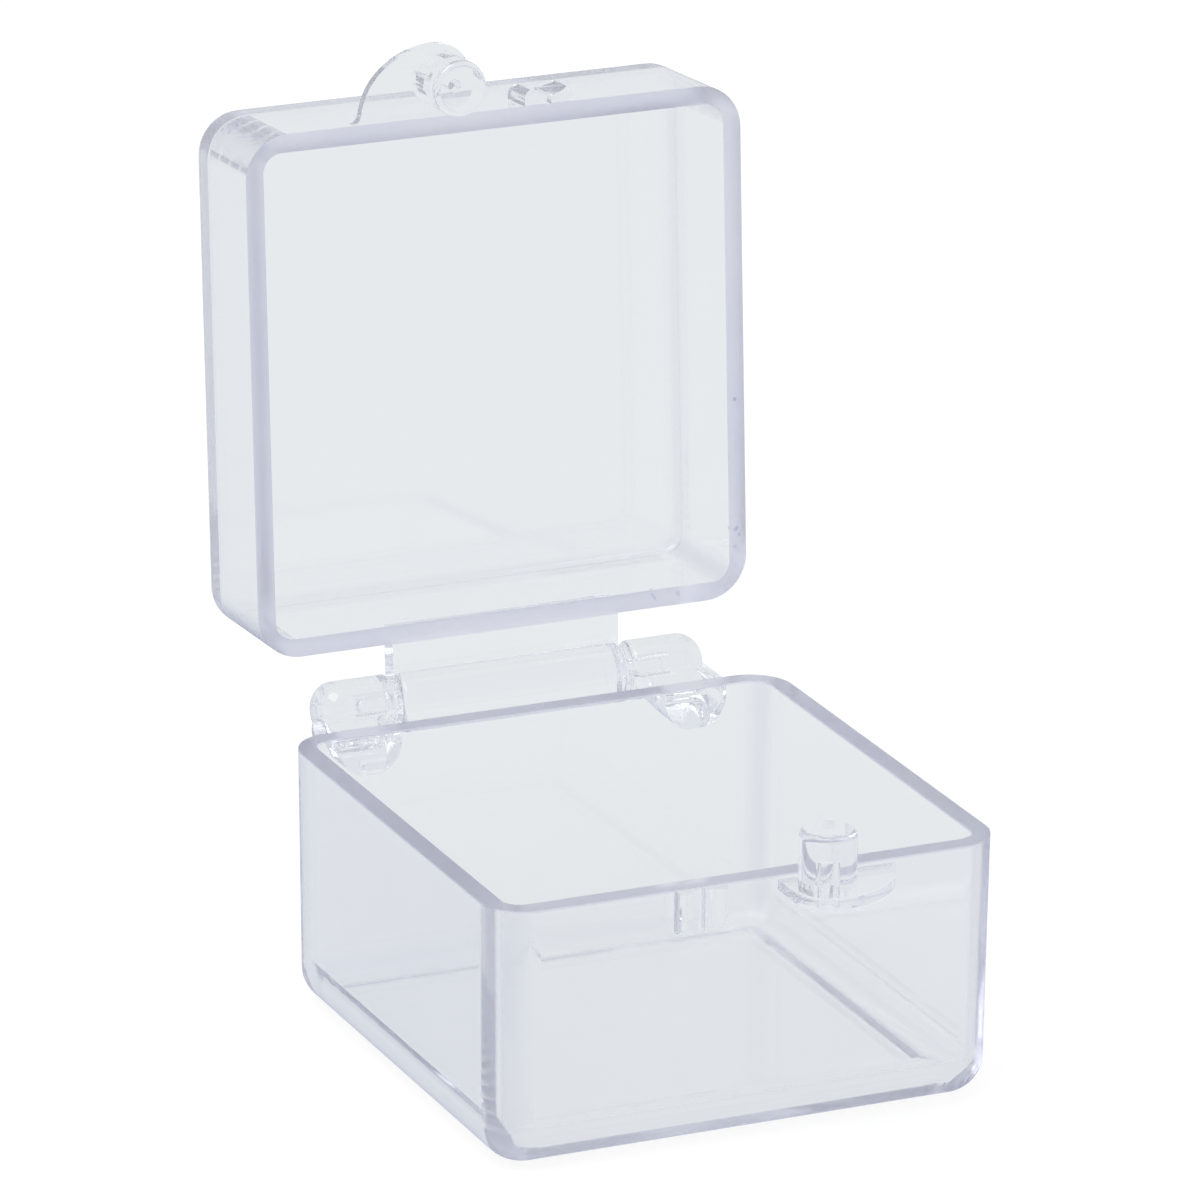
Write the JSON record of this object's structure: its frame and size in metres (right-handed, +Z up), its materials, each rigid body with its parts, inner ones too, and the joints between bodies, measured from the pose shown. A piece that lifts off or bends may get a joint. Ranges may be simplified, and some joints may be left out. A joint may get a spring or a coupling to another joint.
{
  "type": "hinged plastic box",
  "caption": "Small clear plastic box with a deep square base, a hinged lid that stands open, and a snap latch of posts, thumb tabs and ribs at the front.",
  "frame": {"origin": "centre of the base's flat underside", "axes": "+Y from the latch at the front to the hinge at the back, +Z up, +X to the right seen from the front"},
  "size_m": [0.032, 0.0506, 0.0559],
  "materials": {
    "base_plastic": "clear, polished",
    "lid_plastic": "clear, polished"
  },
  "bodies": {
    "base": {"base": "base_plastic"},
    "lid": {"lid": "lid_plastic"}
  },
  "joints": [
    {"name": "lid_hinge", "type": "hinge", "parent": "base", "child": "lid", "pos_m": [0, 0.0196, 0.016], "axis": [-1, 0, 0], "range_deg": [-93.5, 86.5]}
  ]
}
